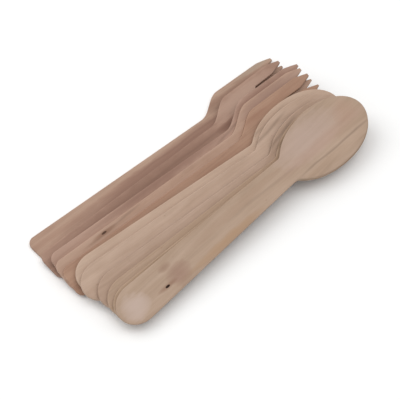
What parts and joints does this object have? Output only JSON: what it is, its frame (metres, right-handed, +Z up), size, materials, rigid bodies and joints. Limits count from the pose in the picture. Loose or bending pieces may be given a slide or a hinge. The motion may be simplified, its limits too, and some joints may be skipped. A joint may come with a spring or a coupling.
{
  "type": "wooden cutlery pack",
  "caption": "Loose pack of flat wooden forks and dished wooden spoons, fanned sideways so that every piece leans on the one before it.",
  "frame": {"origin": "under the middle of the pack's bounding box, on the surface that it lies on", "axes": "+X along the handles towards the heads, +Y towards the lowest fork, +Z up"},
  "size_m": [0.1648, 0.0775, 0.0208],
  "materials": {
    "fork_wood": "plain sawn and pressed veneer, reddish tan, lengthwise grain, matt, no coating",
    "spoon_wood": "plain sawn and pressed veneer, pale beige with soft wavy grain, matt, no coating"
  },
  "bodies": {
    "root": {"fork_1": "fork_wood", "fork_2": "fork_wood", "fork_3": "fork_wood", "fork_4": "fork_wood", "fork_5": "fork_wood", "spoon_1": "spoon_wood", "spoon_2": "spoon_wood", "spoon_3": "spoon_wood", "spoon_4": "spoon_wood", "spoon_5": "spoon_wood", "spoon_6": "spoon_wood"}
  },
  "joints": []
}
